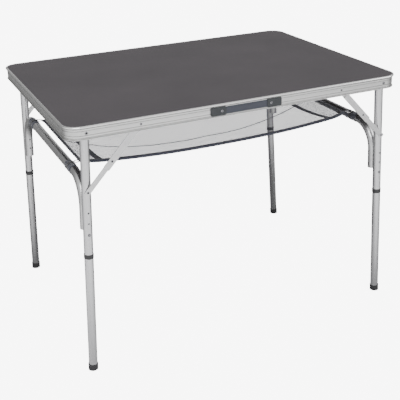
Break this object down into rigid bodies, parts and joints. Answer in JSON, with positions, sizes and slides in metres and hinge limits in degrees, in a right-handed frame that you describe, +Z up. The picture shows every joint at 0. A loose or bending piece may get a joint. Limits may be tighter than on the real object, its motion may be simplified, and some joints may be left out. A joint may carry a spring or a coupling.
{
  "type": "folding table",
  "caption": "Rectangular folding camping table: thin dark board in an aluminium rail, splayed tube legs on fold-in braced end frames, locking stays, carrying handle and a mesh shelf.",
  "frame": {"origin": "on the floor, below the middle of the top", "axes": "+X along the top towards the right end, +Z up, the carrying handle on the -Y side"},
  "size_m": [1, 0.7208, 0.724],
  "materials": {
    "board_laminate": "fine-grained dark grey laminate on thin fibreboard",
    "rail_aluminium": "satin anodised extrusion",
    "tube_aluminium": "satin anodised tube",
    "stay_aluminium": "pressed satin strip",
    "rivet_steel": "zinc-plated steel",
    "spring_steel": "nickel-plated spring steel",
    "handle_plastic": "moulded grey plastic",
    "strap_plastic": "blue-grey flexible plastic strap",
    "black_plastic": "moulded black plastic",
    "washer_plastic": "grey nylon",
    "foot_rubber": "matt black rubber",
    "mesh_fabric": "fine open knitted mesh, light grey",
    "webbing": "dark navy woven binding"
  },
  "bodies": {
    "tabletop": {"tabletop_panel": "board_laminate", "frame_rail": "rail_aluminium", "rail_splice": "rail_aluminium", "splice_rivets": "rivet_steel", "leg_pivot_bolts": "rivet_steel", "leg_pivot_spacers": "black_plastic", "stay_rail_rivets": "rivet_steel", "handle_cap_left": "handle_plastic", "handle_cap_right": "handle_plastic", "handle_strap": "strap_plastic", "handle_rivets": "rivet_steel", "mesh_shelf": "mesh_fabric"},
    "left_frame": {"upper_leg_front_left": "tube_aluminium", "upper_leg_back_left": "tube_aluminium", "leg_plugs_left": "black_plastic", "brace_left": "tube_aluminium", "brace_rivets_left": "rivet_steel", "stay_washers_left": "washer_plastic", "stay_leg_rivets_left": "rivet_steel", "shelf_sleeves_left": "webbing"},
    "right_frame": {"upper_leg_front_right": "tube_aluminium", "upper_leg_back_right": "tube_aluminium", "leg_plugs_right": "black_plastic", "brace_right": "tube_aluminium", "brace_rivets_right": "rivet_steel", "stay_washers_right": "washer_plastic", "stay_leg_rivets_right": "rivet_steel", "shelf_sleeves_right": "webbing"},
    "extension_front_left": {"lower_leg_front_left": "tube_aluminium", "spigot_front_left": "tube_aluminium", "leg_collar_front_left": "black_plastic", "foot_cap_front_left": "foot_rubber"},
    "button_front_left": {"spring_button_front_left": "spring_steel"},
    "upper_stay_front_left": {"upper_stay_front_left": "stay_aluminium", "knee_rivet_front_left": "rivet_steel"},
    "lower_stay_front_left": {"lower_stay_front_left": "stay_aluminium"},
    "extension_back_left": {"lower_leg_back_left": "tube_aluminium", "spigot_back_left": "tube_aluminium", "leg_collar_back_left": "black_plastic", "foot_cap_back_left": "foot_rubber"},
    "button_back_left": {"spring_button_back_left": "spring_steel"},
    "upper_stay_back_left": {"upper_stay_back_left": "stay_aluminium", "knee_rivet_back_left": "rivet_steel"},
    "lower_stay_back_left": {"lower_stay_back_left": "stay_aluminium"},
    "extension_front_right": {"lower_leg_front_right": "tube_aluminium", "spigot_front_right": "tube_aluminium", "leg_collar_front_right": "black_plastic", "foot_cap_front_right": "foot_rubber"},
    "button_front_right": {"spring_button_front_right": "spring_steel"},
    "upper_stay_front_right": {"upper_stay_front_right": "stay_aluminium", "knee_rivet_front_right": "rivet_steel"},
    "lower_stay_front_right": {"lower_stay_front_right": "stay_aluminium"},
    "extension_back_right": {"lower_leg_back_right": "tube_aluminium", "spigot_back_right": "tube_aluminium", "leg_collar_back_right": "black_plastic", "foot_cap_back_right": "foot_rubber"},
    "button_back_right": {"spring_button_back_right": "spring_steel"},
    "upper_stay_back_right": {"upper_stay_back_right": "stay_aluminium", "knee_rivet_back_right": "rivet_steel"},
    "lower_stay_back_right": {"lower_stay_back_right": "stay_aluminium"}
  },
  "joints": [
    {"name": "left_frame_fold", "type": "hinge", "parent": "tabletop", "child": "left_frame", "pos_m": [-0.4454, 0, 0.7052], "axis": [0, 1, 0], "range_deg": [-92.88, 0], "deforming": ["mesh_shelf"]},
    {"name": "right_frame_fold", "type": "hinge", "parent": "tabletop", "child": "right_frame", "pos_m": [0.4454, 0, 0.7052], "axis": [0, 1, 0], "range_deg": [0, 92.88], "deforming": ["mesh_shelf"]},
    {"name": "extension_slide_front_left", "type": "slide", "parent": "left_frame", "child": "extension_front_left", "axis": [-0.0502, 0, -0.9987], "range_m": [0, 0.075]},
    {"name": "button_press_front_left", "type": "slide", "parent": "extension_front_left", "child": "button_front_left", "axis": [0, 1, 0], "range_m": [0, 0.0038], "stiffness_N_per_m": 600, "springref_m": -0.003, "deforming": ["spring_button_front_left"]},
    {"name": "upper_stay_swing_front_left", "type": "hinge", "parent": "tabletop", "child": "upper_stay_front_left", "pos_m": [-0.3014, 0, 0.7052], "axis": [0, 1, 0], "range_deg": [-133.76, 0.5]},
    {"name": "lower_stay_swing_front_left", "type": "hinge", "parent": "left_frame", "child": "lower_stay_front_left", "pos_m": [-0.45353, 0, 0.5435], "axis": [0, 1, 0], "range_deg": [-0.5, 140.12]},
    {"name": "extension_slide_back_left", "type": "slide", "parent": "left_frame", "child": "extension_back_left", "axis": [-0.0502, 0, -0.9987], "range_m": [0, 0.075]},
    {"name": "button_press_back_left", "type": "slide", "parent": "extension_back_left", "child": "button_back_left", "axis": [0, -1, 0], "range_m": [0, 0.0038], "stiffness_N_per_m": 600, "springref_m": -0.003, "deforming": ["spring_button_back_left"]},
    {"name": "upper_stay_swing_back_left", "type": "hinge", "parent": "tabletop", "child": "upper_stay_back_left", "pos_m": [-0.3014, 0, 0.7052], "axis": [0, 1, 0], "range_deg": [-133.76, 0.5]},
    {"name": "lower_stay_swing_back_left", "type": "hinge", "parent": "left_frame", "child": "lower_stay_back_left", "pos_m": [-0.45353, 0, 0.5435], "axis": [0, 1, 0], "range_deg": [-0.5, 140.12]},
    {"name": "extension_slide_front_right", "type": "slide", "parent": "right_frame", "child": "extension_front_right", "axis": [0.0502, 0, -0.9987], "range_m": [0, 0.075]},
    {"name": "button_press_front_right", "type": "slide", "parent": "extension_front_right", "child": "button_front_right", "axis": [0, 1, 0], "range_m": [0, 0.0038], "stiffness_N_per_m": 600, "springref_m": -0.003, "deforming": ["spring_button_front_right"]},
    {"name": "upper_stay_swing_front_right", "type": "hinge", "parent": "tabletop", "child": "upper_stay_front_right", "pos_m": [0.3014, 0, 0.7052], "axis": [0, 1, 0], "range_deg": [-0.5, 133.76]},
    {"name": "lower_stay_swing_front_right", "type": "hinge", "parent": "right_frame", "child": "lower_stay_front_right", "pos_m": [0.45353, 0, 0.5435], "axis": [0, 1, 0], "range_deg": [-140.12, 0.5]},
    {"name": "extension_slide_back_right", "type": "slide", "parent": "right_frame", "child": "extension_back_right", "axis": [0.0502, 0, -0.9987], "range_m": [0, 0.075]},
    {"name": "button_press_back_right", "type": "slide", "parent": "extension_back_right", "child": "button_back_right", "axis": [0, -1, 0], "range_m": [0, 0.0038], "stiffness_N_per_m": 600, "springref_m": -0.003, "deforming": ["spring_button_back_right"]},
    {"name": "upper_stay_swing_back_right", "type": "hinge", "parent": "tabletop", "child": "upper_stay_back_right", "pos_m": [0.3014, 0, 0.7052], "axis": [0, 1, 0], "range_deg": [-0.5, 133.76]},
    {"name": "lower_stay_swing_back_right", "type": "hinge", "parent": "right_frame", "child": "lower_stay_back_right", "pos_m": [0.45353, 0, 0.5435], "axis": [0, 1, 0], "range_deg": [-140.12, 0.5]}
  ],
  "couplings": [
    {"joint": "upper_stay_swing_front_left", "follows": "left_frame_fold", "ratio": 1.4347},
    {"joint": "lower_stay_swing_front_left", "follows": "left_frame_fold", "ratio": -1.5033},
    {"joint": "upper_stay_swing_back_left", "follows": "left_frame_fold", "ratio": 1.4347},
    {"joint": "lower_stay_swing_back_left", "follows": "left_frame_fold", "ratio": -1.5033},
    {"joint": "upper_stay_swing_front_right", "follows": "right_frame_fold", "ratio": 1.4347},
    {"joint": "lower_stay_swing_front_right", "follows": "right_frame_fold", "ratio": -1.5033},
    {"joint": "upper_stay_swing_back_right", "follows": "right_frame_fold", "ratio": 1.4347},
    {"joint": "lower_stay_swing_back_right", "follows": "right_frame_fold", "ratio": -1.5033}
  ]
}
